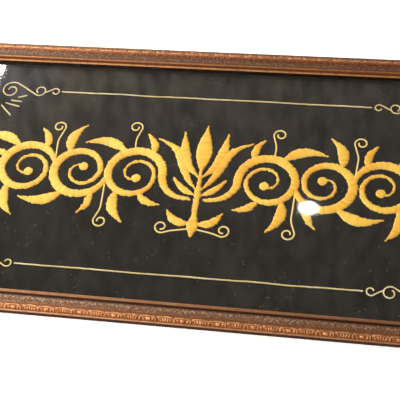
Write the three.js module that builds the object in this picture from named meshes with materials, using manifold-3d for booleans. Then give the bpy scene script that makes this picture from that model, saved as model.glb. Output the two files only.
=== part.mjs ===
// Framed embroidery: a long low picture frame of moulded wood with a glass front, over a dark cloth
// panel worked in raised gold satin stitch inside a border of laid gold cord.
// Millimetres. +X runs along the long side, +Y to the top rail and +Z out of the picture.
// The frame lies on its back, and the origin is the middle of its back plane.

import * as THREE from 'three';
import { mergeVertices } from 'three/addons/utils/BufferGeometryUtils.js';
import Module from 'manifold-3d';

const wasm = await Module();
wasm.setup();

// Frame
const frameWidth = 620;
const frameHeight = 330;
const fitGap = 0.3; // between two pieces that meet
const backEdge = 6; // the back starts this far in from the outer edge
const sideBase = 10.2; // height where the outer side starts to slope in to the back
const sideTop = 13.6;
const sideInset = 0.5;
const lipInset = 2.9; // groove behind the thin rounded lip along the outer edge
const lipHeight = 14.4;
const crestInset = 7.2; // crest of the raised band
const crestHeight = 16.9;
const channelOuter = 10.8; // textured channel between the band and the inner bead
const channelInner = 18.7;
const channelHeight = 14.9;
const beadInset = 21.2;
const beadHeight = 16.9;
const ledgeInset = 23.3; // narrow ledge along the sight edge
const ledgeHeight = 12.9;
const sightInset = 24.7; // inner edge of the moulding
const rebateInset = 20.2; // step at the back that takes the glass, the cloth and the board
const mouldingSegments = 3; // facets on each curve of the moulding

// Layers behind the sight edge, from the back: height of the underside and thickness
const board = { base: 0.8, thickness: 3 };
const cloth = { base: board.base + board.thickness + fitGap, thickness: 1.2 };
const thread = { base: cloth.base + cloth.thickness + fitGap, thickness: 1.2 };
const glass = { base: thread.base + thread.thickness + fitGap, thickness: 2 };
const rebateHeight = glass.base + glass.thickness + fitGap;

// Couched cord border, measured from a corner of the sight edge: a along the edge, b away from it
const sightX = frameWidth / 2 - sightInset;
const sightY = frameHeight / 2 - sightInset;
const cordWidth = 2.2;
const borderInset = 33;
const borderOffset = -2.1; // the border sits this much off the middle of the frame, along Y
const lineStart = 118; // where the straight line starts, along the edge
const bigScroll = { x: 61, y: 34, r: 11, wind: 480, eye: 3 };
const middleCurl = { x: 94, y: 33, r: -6.8, wind: 370, eye: 3.2 };
const smallCurl = { x: 111.5, y: 33.5, r: 4.6, wind: 300, eye: 2.6 };
const smallCurlRoot = { x: 100, y: 35.4, r: 0 };
const raysPerCorner = [
  { a: [71, 44], b: [81, 40.4] },
  { a: [64, 48], b: [77, 49.4] },
  { a: [59, 52], b: [76, 56.4] },
  { a: [55, 55], b: [69, 69] },
];

// Satin stitched vine: a stem that runs over and under a row of scrolls, each side of a tall flower
const vineY = 4;
const vineRadius = 28.5;
const vineFirstX = 67;
const vineScrolls = 3;
const vineRootX = 13; // middle of the bend that brings the stem up from the foot of the flower
const scrollWind = { hold: 180, wind: 470, eye: 5.5 };
const scrollStroke = { hair: 2.2, full: 9.5, peak: 0.3 };
const eyeRadius = 5;
// Leaves: the scrolls that have it, angle round the scroll from where the stem arrives, length,
// turn away from the stem (plus is outwards), sideways bow, and width
const scrollLeaves = [
  { on: [0, 1, 2], at: 58, length: 29, turn: 38, bow: -4, full: 8 },
  { on: [0, 1, 2], at: 116, length: 48, turn: 38, bow: -8, full: 11.5 },
  { on: [2], at: 150, length: 25, turn: 58, bow: -4, full: 8 },
  { on: [0, 1, 2], at: 232, length: 40, turn: 34, bow: -7, full: 11 },
  { on: [0], at: 285, length: 28, turn: 42, bow: -4, full: 8 },
];
// Petals of the tall flower, right half: foot, tip, bow, sway and width
const flowerPetals = [
  { from: [1, 4], to: [23, 61], bow: -7, sway: -1, full: 11 },
  { from: [1, -12], to: [50, 50], bow: 6, sway: -4, full: 10 },
  { from: [1, -18], to: [27, 3], bow: -3, sway: 0, full: 7 },
  { from: [1, -50], to: [28, -36], bow: -6, sway: 0, full: 9 },
];
const flowerSpine = [
  { from: [0, 10], to: [0, 70], bow: 0, sway: 0, full: 16 },
  { from: [0, -62], to: [0, 24], bow: 0, sway: 0, full: 6 },
  { from: [0, -66], to: [0, -36], bow: 0, sway: 0, full: 11 },
];
const leafHair = 1.6;
// Tendrils: hairlines that leave the stem at their root, bend and curl up at their end, right half
const tendrilStroke = { hair: 1.8, full: 1.8, peak: 0.5 };
const tendrilEnd = { wind: 400, eye: 2.6 };
const vineTendrils = [
  { root: { x: 72, y: 32, r: 0 }, bend: { x: 48, y: 45, r: 25 }, curl: { x: 76, y: 63, r: -7 } },
  { root: { x: 96.5, y: -4, r: 0 }, bend: { x: 120, y: -36, r: 25 }, curl: { x: 92.6, y: -54.5, r: -7 } },
  { root: { x: 153.5, y: 12, r: 0 }, bend: { x: 131, y: 38, r: 25 }, curl: { x: 158.5, y: 58, r: -7 } },
];
const flowerTendrils = [
  { root: { x: 1, y: -56, r: 0 }, bend: { x: 14, y: -84, r: -25 }, curl: { x: 30.5, y: -56, r: 7 } },
];
const chordSag = 0.25; // how far a facet may stand off its curve

const materials = {
  wood: new THREE.MeshStandardMaterial({ color: 0x9a6a45, roughness: 0.45, metalness: 0.35 }),
  glass: new THREE.MeshStandardMaterial({
    color: 0xe8efec, roughness: 0.05, metalness: 0, transparent: true, opacity: 0.35,
  }),
  cloth: new THREE.MeshStandardMaterial({ color: 0x23211f, roughness: 0.95, metalness: 0 }),
  satin: new THREE.MeshStandardMaterial({ color: 0xd9a441, roughness: 0.5, metalness: 0.1 }),
  cord: new THREE.MeshStandardMaterial({ color: 0xcdb67c, roughness: 0.55, metalness: 0.1 }),
  board: new THREE.MeshStandardMaterial({ color: 0x8a6e52, roughness: 0.85, metalness: 0 }),
};

const framedEmbroidery = new THREE.Group();
const cordBorder = new THREE.Group();
cordBorder.position.y = borderOffset;
framedEmbroidery.add(cordBorder);

function addMesh(name, geometry, material, parent = framedEmbroidery) {
  const mesh = new THREE.Mesh(geometry, material);
  mesh.name = name;
  parent.add(mesh);
  return mesh;
}

// Moulding section: u is the distance in from the outer edge, h the height above the back
function mouldingSection() {
  const section = new THREE.Shape();
  section.moveTo(backEdge, 0);
  section.lineTo(rebateInset, 0);
  section.lineTo(rebateInset, rebateHeight);
  section.lineTo(sightInset, rebateHeight);
  section.lineTo(sightInset, ledgeHeight);
  section.lineTo(ledgeInset, ledgeHeight);
  section.quadraticCurveTo(22.8, 16.5, beadInset, beadHeight);
  section.quadraticCurveTo(19.4, beadHeight, channelInner, channelHeight - 0.5);
  section.quadraticCurveTo(15, channelHeight + 0.6, channelOuter, channelHeight);
  section.quadraticCurveTo(9.4, crestHeight, crestInset, crestHeight);
  section.quadraticCurveTo(4.6, 16.4, lipInset, lipHeight);
  section.quadraticCurveTo(1.4, lipHeight + 1.3, sideInset, sideTop);
  section.lineTo(sideInset, sideBase);
  section.closePath();
  return section;
}

// A rail is the section drawn out and sawn at 45 degrees at both ends. It is modelled as the bottom
// rail of a frame that is length wide and span high, and then turned to its own side.
function addRail(name, length, span, turn) {
  const geometry = new THREE.ExtrudeGeometry(mouldingSection(), {
    depth: 1, steps: 1, bevelEnabled: false, curveSegments: mouldingSegments,
  });
  const position = geometry.attributes.position;
  const sawCut = fitGap / Math.SQRT2;
  for (let i = 0; i < position.count; i += 1) {
    const u = position.getX(i);
    const end = position.getZ(i) < 0.5 ? -1 : 1;
    position.setXYZ(i, end * (length / 2 - u - sawCut), u - span / 2, position.getY(i));
  }
  const rail = addMesh(name, geometry, materials.wood);
  rail.rotation.z = turn;
}

// A flat layer that fits the rebate
function addLayer(name, layer, material) {
  const inset = 2 * (rebateInset + fitGap);
  const geometry = new THREE.BoxGeometry(frameWidth - inset, frameHeight - inset, layer.thickness);
  addMesh(name, geometry, material).position.z = layer.base + layer.thickness / 2;
}

const radians = THREE.MathUtils.degToRad;

function pointAt(centre, radius, angle) {
  return [centre.x + radius * Math.cos(angle), centre.y + radius * Math.sin(angle)];
}

// Arc steps short enough that the facets keep within chordSag of the curve
function arcSteps(radius, sweep) {
  const step = 2 * Math.acos(1 - chordSag / Math.max(radius, 2 * chordSag));
  return Math.max(2, Math.ceil(Math.abs(sweep) / Math.min(step, 0.9)));
}

// Heading of the line that leaves circle p and reaches circle q. A plus radius is turned
// anticlockwise, a minus radius clockwise, and a radius of 0 is a point.
function tangentHeading(p, q) {
  const bearing = Math.atan2(q.y - p.y, q.x - p.x);
  const across = q.r - p.r;
  const along = Math.sqrt(Math.max(0, (q.x - p.x) ** 2 + (q.y - p.y) ** 2 - across ** 2));
  return bearing - Math.atan2(across, along);
}

// Points from where a line with this heading reaches the circle, round it and in to its eye
function windIn(circle, radius, heading) {
  const sense = Math.sign(radius);
  const hold = radians(circle.hold ?? 0);
  const wind = radians(circle.wind);
  const steps = arcSteps((Math.abs(radius) + circle.eye) / 2, hold + wind);
  const points = [];
  for (let i = 0; i <= steps; i += 1) {
    const swept = ((hold + wind) * i) / steps;
    const share = Math.max(0, swept - hold) / wind;
    const reach = Math.abs(radius) + (circle.eye - Math.abs(radius)) * share;
    points.push(pointAt(circle, reach, heading - (sense * Math.PI) / 2 + sense * swept));
  }
  return points;
}

// Centre line that runs from circle to circle like a belt and winds in at an end that has an eye
function scrollLine(circles) {
  const headings = circles.slice(1).map((circle, i) => tangentHeading(circles[i], circle));
  const first = circles[0];
  const last = circles[circles.length - 1];
  const points = first.r === 0
    ? [[first.x, first.y]]
    : windIn(first, -first.r, headings[0] + Math.PI).reverse();
  circles.slice(1, -1).forEach((circle, i) => {
    const sense = Math.sign(circle.r);
    const start = headings[i] - (sense * Math.PI) / 2;
    const sweep = THREE.MathUtils.euclideanModulo(sense * (headings[i + 1] - headings[i]), 2 * Math.PI);
    const steps = arcSteps(Math.abs(circle.r), sweep);
    for (let k = 0; k <= steps; k += 1) {
      points.push(pointAt(circle, Math.abs(circle.r), start + (sense * sweep * k) / steps));
    }
  });
  if (last.r === 0) {
    points.push([last.x, last.y]);
  } else {
    points.push(...windIn(last, last.r, headings[headings.length - 1]));
  }
  return points;
}

// Centre line of a leaf: straight from foot to tip, plus bow times a half sine wave and sway times a
// full one to its left
function leafLine({ from, to, bow, sway }) {
  const along = [to[0] - from[0], to[1] - from[1]];
  const length = Math.hypot(...along);
  const left = [-along[1] / length, along[0] / length];
  const steps = Math.max(6, Math.round(length / 6));
  const points = [];
  for (let i = 0; i <= steps; i += 1) {
    const t = i / steps;
    const aside = bow * Math.sin(Math.PI * t) + sway * Math.sin(2 * Math.PI * t);
    points.push([from[0] + along[0] * t + left[0] * aside, from[1] + along[1] * t + left[1] * aside]);
  }
  return points;
}

// Width at the share t of the way: hair at both ends, and full at the peak
function swell(t, { hair, full, peak }) {
  return hair + (full - hair) * Math.sin(Math.PI * t ** (Math.log(0.5) / Math.log(peak))) ** 1.4;
}

// Raised stroke: the outline that lies half the width to each side of the centre line, drawn up by
// the thickness of the stitching
function strokeGeometry(centreLine, stroke) {
  const line = centreLine.filter((p, i) => i === 0
    || Math.hypot(p[0] - centreLine[i - 1][0], p[1] - centreLine[i - 1][1]) > 0.05);
  const travelled = [0];
  for (let i = 1; i < line.length; i += 1) {
    travelled.push(travelled[i - 1] + Math.hypot(line[i][0] - line[i - 1][0], line[i][1] - line[i - 1][1]));
  }
  const left = [];
  const right = [];
  line.forEach((p, i) => {
    const before = line[Math.max(0, i - 1)];
    const after = line[Math.min(line.length - 1, i + 1)];
    const heading = Math.atan2(after[1] - before[1], after[0] - before[0]);
    const half = swell(travelled[i] / travelled[travelled.length - 1], stroke) / 2;
    const aside = [-Math.sin(heading) * half, Math.cos(heading) * half];
    left.push(new THREE.Vector2(p[0] + aside[0], p[1] + aside[1]));
    right.unshift(new THREE.Vector2(p[0] - aside[0], p[1] - aside[1]));
  });
  return raised(new THREE.Shape([...left, ...right]));
}

function raised(shape) {
  const geometry = new THREE.ExtrudeGeometry(shape, {
    depth: thread.thickness, bevelEnabled: false, curveSegments: 3,
  });
  geometry.translate(0, 0, thread.base);
  return geometry;
}

function solidOf(geometry) {
  const bare = geometry.clone();
  bare.deleteAttribute('normal');
  bare.deleteAttribute('uv');
  const merged = mergeVertices(bare, 1e-4);
  return new wasm.Manifold(new wasm.Mesh({
    numProp: 3,
    vertProperties: new Float32Array(merged.attributes.position.array),
    triVerts: new Uint32Array(merged.index.array),
  }));
}

// One body from pieces that cross or touch
function joined(geometries) {
  const whole = geometries.map(solidOf).reduce((sum, piece) => sum.add(piece)).getMesh();
  const geometry = new THREE.BufferGeometry();
  geometry.setAttribute('position', new THREE.BufferAttribute(whole.vertProperties, 3));
  geometry.setIndex(new THREE.BufferAttribute(whole.triVerts, 1));
  return geometry;
}

const cordStroke = { hair: cordWidth, full: cordWidth, peak: 0.5 };

function mirrored(points, side) {
  return points.map(([x, y]) => [side * x, y]);
}

// Border ends and rays: each is drawn once for a corner and then placed in all four, the right way
// round (along X) and swapped about the corner's diagonal (along Y)
function cornerPlace(sideX, sideY, swap) {
  return (points) => points.map(([a, b]) => (swap
    ? [sideX * (sightX - b), sideY * (sightY - a)]
    : [sideX * (sightX - a), sideY * (sightY - b)]));
}

function addCord(name, geometry) {
  addMesh(name, geometry, materials.cord, cordBorder);
}

function addBorder() {
  const lines = [
    {
      name: 'top',
      from: [-sightX + lineStart, sightY - borderInset],
      to: [sightX - lineStart, sightY - borderInset],
    },
    {
      name: 'right',
      from: [sightX - borderInset, sightY - lineStart],
      to: [sightX - borderInset, lineStart - sightY],
    },
  ];
  lines.forEach(({ name, from, to }) => {
    const opposite = name === 'top' ? 'bottom' : 'left';
    const turned = [from, to].map(([x, y]) => [-x, -y]);
    addCord(`border_line_${name}`, strokeGeometry([from, to], cordStroke));
    addCord(`border_line_${opposite}`, strokeGeometry(turned, cordStroke));
  });
  const endLines = [scrollLine([bigScroll, middleCurl]), scrollLine([smallCurlRoot, smallCurl])];
  for (const [column, sideX] of [['left', -1], ['right', 1]]) {
    for (const [row, sideY] of [['top', 1], ['bottom', -1]]) {
      for (const swap of [false, true]) {
        const place = cornerPlace(sideX, sideY, swap);
        const pieces = endLines.map((line) => strokeGeometry(place(line), cordStroke));
        const name = swap ? `border_scroll_${column}_${row}` : `border_scroll_${row}_${column}`;
        addCord(name, joined(pieces));
        raysPerCorner.forEach(({ a, b }, i) => {
          const onDiagonal = i === raysPerCorner.length - 1;
          if (onDiagonal && swap) return;
          const number = swap ? 2 * raysPerCorner.length - 1 - i : i + 1;
          addCord(`ray_${row}_${column}_${number}`, strokeGeometry(place([a, b]), cordStroke));
        });
      }
    }
  }
}

// The bend from the foot of the flower up to the side of the first scroll
function vineRoot(centre) {
  const bend = centre.x - vineRadius - vineRootX;
  return [{ x: 6, y: vineY - bend - 1, r: 0 }, { x: vineRootX, y: vineY, r: bend }];
}

// Vine: circle n lies on alternate sides of the stem, so the stem runs over one and under the next,
// and at each crossing the last circle's branch goes on round and winds in
function addVine(name, side) {
  const pieces = [];
  for (let n = 0; n < vineScrolls; n += 1) {
    const sense = n % 2 === 0 ? -1 : 1;
    const centre = { x: vineFirstX + 2 * vineRadius * n, y: vineY };
    const circle = { ...centre, r: sense * vineRadius, ...scrollWind };
    const arrival = n === 0 ? vineRoot(centre) : [{ x: centre.x - vineRadius, y: vineY, r: 0 }];
    const line = scrollLine([...arrival, circle]);
    pieces.push(strokeGeometry(mirrored(line, side), scrollStroke));
    const [eyeX, eyeY] = line[line.length - 1];
    const eye = new THREE.Shape();
    eye.absarc(side * eyeX, eyeY, eyeRadius, 0, 2 * Math.PI);
    pieces.push(raised(eye));
    scrollLeaves.filter((leaf) => leaf.on.includes(n)).forEach((leaf) => {
      const share = Math.max(0, leaf.at - scrollWind.hold) / scrollWind.wind;
      const reach = vineRadius + (scrollWind.eye - vineRadius) * share;
      const angle = Math.PI + sense * radians(leaf.at);
      const heading = angle + (sense * Math.PI) / 2 - sense * radians(leaf.turn);
      const from = pointAt(centre, reach, angle);
      const to = pointAt({ x: from[0], y: from[1] }, leaf.length, heading);
      const leafShape = { from, to, bow: sense * leaf.bow, sway: 0 };
      pieces.push(strokeGeometry(
        mirrored(leafLine(leafShape), side),
        { hair: leafHair, full: leaf.full, peak: 0.42 },
      ));
    });
  }
  vineTendrils.forEach((piece) => pieces.push(tendril(piece, side)));
  addMesh(name, joined(pieces), materials.satin);
}

function tendril({ root, bend, curl }, side) {
  const line = scrollLine([root, bend, { ...curl, ...tendrilEnd }]);
  return strokeGeometry(mirrored(line, side), tendrilStroke);
}

function addFlower() {
  const pieces = flowerSpine.map((petal) => strokeGeometry(
    leafLine(petal),
    { hair: leafHair, full: petal.full, peak: 0.45 },
  ));
  for (const side of [-1, 1]) {
    flowerPetals.forEach((petal) => {
      pieces.push(strokeGeometry(
        mirrored(leafLine(petal), side),
        { hair: leafHair, full: petal.full, peak: 0.5 },
      ));
    });
    flowerTendrils.forEach((piece) => pieces.push(tendril(piece, side)));
  }
  addMesh('flower', joined(pieces), materials.satin);
}

addRail('rail_bottom', frameWidth, frameHeight, 0);
addRail('rail_right', frameHeight, frameWidth, Math.PI / 2);
addRail('rail_top', frameWidth, frameHeight, Math.PI);
addRail('rail_left', frameHeight, frameWidth, -Math.PI / 2);
addLayer('back_board', board, materials.board);
addLayer('ground_cloth', cloth, materials.cloth);
addLayer('glass', glass, materials.glass);
addBorder();
addVine('vine_right', 1);
addVine('vine_left', -1);
addFlower();

export default framedEmbroidery;
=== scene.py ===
import math
import bpy
import numpy as np
from mathutils import Matrix, Vector


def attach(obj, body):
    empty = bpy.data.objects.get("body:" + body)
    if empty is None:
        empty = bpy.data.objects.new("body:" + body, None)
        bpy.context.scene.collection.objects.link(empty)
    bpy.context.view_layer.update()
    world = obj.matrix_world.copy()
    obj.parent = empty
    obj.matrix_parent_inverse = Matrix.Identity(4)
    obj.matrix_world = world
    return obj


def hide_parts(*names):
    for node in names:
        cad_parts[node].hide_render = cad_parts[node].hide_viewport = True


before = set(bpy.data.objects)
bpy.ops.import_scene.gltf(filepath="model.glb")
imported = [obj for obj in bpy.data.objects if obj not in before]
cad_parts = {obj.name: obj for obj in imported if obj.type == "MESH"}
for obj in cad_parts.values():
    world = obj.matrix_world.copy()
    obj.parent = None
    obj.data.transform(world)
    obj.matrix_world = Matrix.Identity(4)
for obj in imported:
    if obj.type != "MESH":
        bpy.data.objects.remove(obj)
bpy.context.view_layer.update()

mm = 0.001

scene = bpy.context.scene


# Camera: the photograph's viewpoint, low over the bottom rail and a little to the right
cameraSetup = {
    "place": (142.61, -514.18, 774.54),
    "right": (0.98637, 0.13745, -0.0905),
    "up": (-0.06628, 0.83514, 0.54603),
    "back": (0.15063, -0.53259, 0.83286),
    "focalPixels": 932.0,
    "imagePixels": 400,
    "sensor": 36.0,
}


def makeCamera():
    data = bpy.data.cameras.new("camera")
    data.sensor_width = cameraSetup["sensor"]
    data.lens = cameraSetup["focalPixels"] / cameraSetup["imagePixels"] * cameraSetup["sensor"]
    data.clip_start = 0.01
    camera = bpy.data.objects.new("camera", data)
    scene.collection.objects.link(camera)
    turn = Matrix((cameraSetup["right"], cameraSetup["up"], cameraSetup["back"])).transposed()
    camera.matrix_world = Matrix.Translation(Vector(cameraSetup["place"]) * mm) @ turn.to_4x4()
    scene.camera = camera


makeCamera()
print("camera in place")


# Shader maths: a socket that takes part in sums, and each sum adds its Math node
class Value:
    def __init__(self, nodes, socket):
        self.nodes = nodes
        self.socket = socket

    def combine(self, operation, *terms):
        return self.nodes.node("Math", 0, {"operation": operation}, dict(enumerate(terms)))

    def __add__(self, other):
        return self.combine("ADD", self, other)

    def __radd__(self, other):
        return self.combine("ADD", other, self)

    def __sub__(self, other):
        return self.combine("SUBTRACT", self, other)

    def __rsub__(self, other):
        return self.combine("SUBTRACT", other, self)

    def __mul__(self, other):
        return self.combine("MULTIPLY", self, other)

    def __rmul__(self, other):
        return self.combine("MULTIPLY", other, self)

    def __truediv__(self, other):
        return self.combine("DIVIDE", self, other)

    def __pow__(self, other):
        return self.combine("POWER", self, other)

    def sine(self):
        return self.combine("SINE", self)

    def magnitude(self):
        return self.combine("ABSOLUTE", self)

    def wrap(self, span):
        return self.combine("FLOORED_MODULO", self, span)

    def larger(self, other):
        return self.combine("MAXIMUM", self, other)

    # 0 below low and 1 above high, smooth between
    def step(self, low, high):
        return self.nodes.node("MapRange", "Result", {"interpolation_type": "SMOOTHSTEP"},
                               Value=self, From_Min=low, From_Max=high)


# A ramp's stops: position and colour of each
def setStops(marks, stops):
    while len(marks) < len(stops):
        marks.new(0.5)
    for mark, (position, colour) in zip(marks, stops):
        mark.position = position
        mark.color = (*colour, 1.0)


# The nodes of a material or a world, and its output
class NodeTree:
    def __init__(self, owner, outputKind):
        owner.use_nodes = True
        self.tree = owner.node_tree
        self.tree.nodes.clear()
        self.output = self.tree.nodes.new("ShaderNodeOutput" + outputKind)

    # Any node: type, settings first, then the values or links of its sockets, by number or by name.
    # Gives back one of its outputs.
    def node(self, kind, output=0, settings=None, numbered=None, **named):
        node = self.tree.nodes.new("ShaderNode" + kind)
        for key, value in (settings or {}).items():
            if key == "stops":
                setStops(node.color_ramp.elements, value)
            else:
                setattr(node, key, value)
        sockets = {name.replace("_", " "): value for name, value in named.items()}
        for key, value in {**(numbered or {}), **sockets}.items():
            if isinstance(value, Value):
                self.tree.links.new(value.socket, node.inputs[key])
            else:
                node.inputs[key].default_value = value
        return Value(self, node.outputs[output])

    # The shader that is shown
    def surface(self, shader):
        self.tree.links.new(shader.socket, self.output.inputs["Surface"])

    def noise(self, where, scale, detail=3.0, rough=0.55):
        return self.node("TexNoise", "Fac", Vector=where, Scale=scale, Detail=detail, Roughness=rough)

    # Stretched place, so that a pattern runs long in one direction
    def stretched(self, where, scales):
        return self.node("Mapping", Vector=where, Scale=scales)

    # Colour between low, where the factor is 0, and high, where it is 1. With "ADD" high is added.
    def blend(self, factor, low, high, kind="MIX"):
        low, high = (tone if isinstance(tone, Value) else (*tone, 1.0) for tone in (low, high))
        settings = {"data_type": "RGBA", "blend_type": kind}
        return self.node("Mix", 2, settings, {0: factor, 6: low, 7: high})


# A material, and what its patterns are made from
class Finish(NodeTree):
    def __init__(self, name):
        self.material = bpy.data.materials.new(name)
        super().__init__(self.material, "Material")

    def place(self):
        return self.node("TexCoord", "Object")

    def attribute(self, name):
        return self.node("Attribute", "Fac", {"attribute_name": name})

    # One coordinate of a place: 0 for X, 1 for Y, 2 for Z
    def across(self, where, axis):
        return self.node("SeparateXYZ", axis, Vector=where)

    # A tone laid over a colour where the mask is 1; tones are sRGB, 0 to 255
    def coat(self, mask, colour, tone):
        return self.blend(mask, colour, paint(*tone))

    # Colour by a value: stops are (position, colour)
    def ramp(self, factor, stops):
        return self.node("ValToRGB", 0, {"stops": stops}, {0: factor})

    def bump(self, height, depth, strength=1.0):
        return self.node("Bump", Height=height, Distance=depth, Strength=strength)

    # One Principled shader with these values and links, shown by the material
    def feed(self, **sockets):
        self.surface(self.node("BsdfPrincipled", **sockets))
        return self.material


# sRGB 0 to 255 to the linear colour that the shaders take, by the curve of the sRGB standard
def paint(red, green, blue):
    share = np.array([red, green, blue]) / 255
    return tuple(np.where(share < 0.04045, share / 12.92, ((share + 0.055) / 1.055) ** 2.4).tolist())


# Meshes from numpy grids.
# Six times the volume between the faces and the origin: each triangle's triple product, summed
def volumeOf(points, faces):
    corners = points[faces]
    first = np.einsum("ij,ij->i", corners[:, 0], np.cross(corners[:, 1], corners[:, 2])).sum()
    if faces.shape[1] == 3:
        return first
    return first + np.einsum("ij,ij->i", corners[:, 0], np.cross(corners[:, 2], corners[:, 3])).sum()


# A tube of grid points [along, around]: quads between neighbours, and a fan to the middle of each
# end ring. The faces are turned about where the volume they shut in comes out negative.
def tubeFaces(grid):
    along, around = grid.shape[:2]
    points = np.concatenate([grid.reshape(-1, 3), grid[0].mean(0)[None], grid[-1].mean(0)[None]])
    row = np.arange(along - 1)[:, None] * around
    here = np.arange(around)[None]
    there = (here + 1) % around
    quads = np.stack([row + here, row + there, row + around + there, row + around + here], -1)
    quads = quads.reshape(-1, 4)
    last = (along - 1) * around
    startFan = np.stack([there[0], here[0], np.full(around, along * around)], -1)
    endFan = np.stack([last + here[0], last + there[0], np.full(around, along * around + 1)], -1)
    fans = np.concatenate([startFan, endFan])
    if volumeOf(points, quads) + volumeOf(points, fans) < 0:
        quads, fans = quads[:, ::-1], fans[:, ::-1]
    return points, quads, fans


# One object from many tubes. Each tube is a dictionary: grid in millimetres, and fields of
# one number per grid point, which become attributes of the mesh
def makePiece(name, tubes, material, fields=()):
    allPoints, allQuads, allFans = [], [], []
    offset = 0
    values = {field: [] for field in fields}
    for tube in tubes:
        points, quads, fans = tubeFaces(tube["grid"])
        allPoints.append(points * mm)
        allQuads += (quads + offset).tolist()
        allFans += (fans + offset).tolist()
        offset += len(points)
        for field in fields:
            value = np.broadcast_to(tube[field], tube["grid"].shape[:2])
            ends = np.array([value[0].mean(), value[-1].mean()])
            values[field].append(np.concatenate([value.reshape(-1), ends]))
    mesh = bpy.data.meshes.new(name)
    mesh.from_pydata(np.concatenate(allPoints).tolist(), [], allQuads + allFans)
    mesh.validate()
    mesh.shade_smooth()
    for field in fields:
        layer = mesh.attributes.new(field, "FLOAT", "POINT")
        layer.data.foreach_set("value", np.concatenate(values[field]).astype(np.float32))
    piece = bpy.data.objects.new(name, mesh)
    scene.collection.objects.link(piece)
    mesh.materials.append(material)
    print(name, len(allQuads) * 2 + len(allFans), "triangles")
    return piece


# Body and the solids that the piece takes the place of. The material slot's name is not used.
def settle(piece, slotName, *nodes):
    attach(piece, "root")
    if nodes:
        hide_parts(*nodes)


latticeSize = 256


# Lumpy field between -1 and 1: random numbers on a lattice one cell wide, blended by s squared
# times (3 minus 2 s)
def lumps(x, y, cell, seed):
    table = np.random.default_rng(seed).uniform(-1, 1, (latticeSize, latticeSize))
    across, up = np.asarray(x) / cell, np.asarray(y) / cell
    column, row = np.floor(across).astype(int), np.floor(up).astype(int)
    s, t = across - column, up - row
    s, t = s * s * (3 - 2 * s), t * t * (3 - 2 * t)
    columns = column % latticeSize, (column + 1) % latticeSize
    near, far = (table[r, columns[0]] * (1 - s) + table[r, columns[1]] * s
                 for r in (row % latticeSize, (row + 1) % latticeSize))
    return near * (1 - t) + far * t


# The same formulas serve numpy arrays and shader values
def magnitude(x):
    return x.magnitude() if isinstance(x, Value) else np.abs(x)


def larger(x, y):
    return x.larger(y) if isinstance(x, Value) else np.maximum(x, y)


def wrap(x, span):
    return x.wrap(span) if isinstance(x, Value) else np.mod(x, span)


# 0 below low and 1 above high, and share squared times (3 minus 2 share) between
def ease(x, low, high):
    if isinstance(x, Value):
        return x.step(low, high)
    share = np.clip((x - low) / (high - low), 0, 1)
    return share * share * (3 - 2 * share)


# Moulding: u is the distance in from the outer edge, h the height above the back
moulding = {
    "length": 620.0,
    "height": 330.0,
    "sawCut": 0.21,
    "stepAlong": 0.8,
    # section corners (u, h) and the points on the way to the next one
    "section": [
        (6.0, 0.0, 2), (20.2, 0.0, 2), (20.2, 9.4, 1), (24.6, 9.4, 2), (24.7, 12.2, 1),
        (24.55, 12.8, 1), (24.2, 13.05, 1), (23.6, 13.0, 1), (23.3, 12.8, 1), (22.9, 13.6, 3),
        (22.2, 15.5, 2), (21.6, 16.5, 2), (20.9, 16.85, 2), (20.1, 16.7, 2), (19.5, 16.1, 2),
        (19.2, 14.7, 1), (18.8, 14.3, 1),
        (18.4, 14.7, 5), (15.0, 15.2, 5), (11.2, 15.0, 2), (10.2, 15.4, 3), (9.0, 16.3, 3),
        (7.9, 16.85, 3), (6.6, 16.85, 4), (5.2, 16.3, 4), (3.9, 15.4, 2), (3.2, 14.5, 1),
        (2.9, 14.4, 1), (2.6, 14.9, 1), (2.1, 15.35, 1), (1.5, 15.35, 1), (1.1, 14.9, 1), (0.9, 14.2, 1),
        (0.6, 13.6, 1), (0.5, 13.0, 2), (0.5, 10.2, 3),
    ],
    "face": {"u": 0.95, "h": 13.2},     # the gilded face lies beyond both
    "back": {"u": 6.5, "h": 0.5},       # end of the outer side, and top of the bare back
    "repeat": 32.0,
    "origin": 400.0,                    # the patterns are shifted along by this, and by the next
    "shiftOfRail": 5.3,                 # times the number of the rail
    "reliefHeight": 0.5,
    "band": {"start": 3.0, "end": 9.6, "rise": 0.5, "fall": 0.9, "sink": 0.2},
    "channel": {"start": 10.8, "end": 18.5, "rise": 0.8, "fall": 0.8, "lift": 0.14},
    # lumps of the channel and of the whole face: cell, squeeze over u, share, seed
    "channelLumps": [(0.9, 1.3, 0.6, 11), (1.9, 1.0, 0.4, 3)],
    "wearLumps": [(7.0, 4.0, 0.025, 21)],
}

# Pressed ornament in one repeat: where along it, half length, middle u, half width, lean.
# A shell of five flutes, then an egg between darts, each under its own arch
ornament = [
    {"at": 3.4, "half": 0.55, "u": 4.5, "deep": 1.1, "lean": 0.55},
    {"at": 5.8, "half": 0.6, "u": 4.7, "deep": 1.4, "lean": 0.28},
    {"at": 8.0, "half": 0.65, "u": 4.8, "deep": 1.6, "lean": 0.0},
    {"at": 10.2, "half": 0.6, "u": 4.7, "deep": 1.4, "lean": -0.28},
    {"at": 12.6, "half": 0.55, "u": 4.5, "deep": 1.1, "lean": -0.55},
    {"at": 16.0, "half": 0.7, "u": 4.8, "deep": 1.6, "lean": 0.0},
    {"at": 19.6, "half": 0.5, "u": 4.5, "deep": 1.2, "lean": 0.5},
    {"at": 24.0, "half": 2.0, "u": 4.8, "deep": 1.2, "lean": 0.0},
    {"at": 28.4, "half": 0.5, "u": 4.5, "deep": 1.2, "lean": -0.5},
    {"at": 31.0, "half": 0.6, "u": 4.8, "deep": 1.6, "lean": 0.0},
]
# A ridge that arches over the shell, and one over the egg
arches = [
    {"at": 8.0, "half": 7.2, "low": 6.3, "rise": 1.3, "thick": 1.05},
    {"at": 23.6, "half": 7.0, "low": 6.4, "rise": 1.1, "thick": 1.0},
]


softEdge = 0.3
ridge = {"core": 0.35, "foot": 1.25, "ends": (0.9, 1.06), "heights": (0.8, 0.75)}


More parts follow.
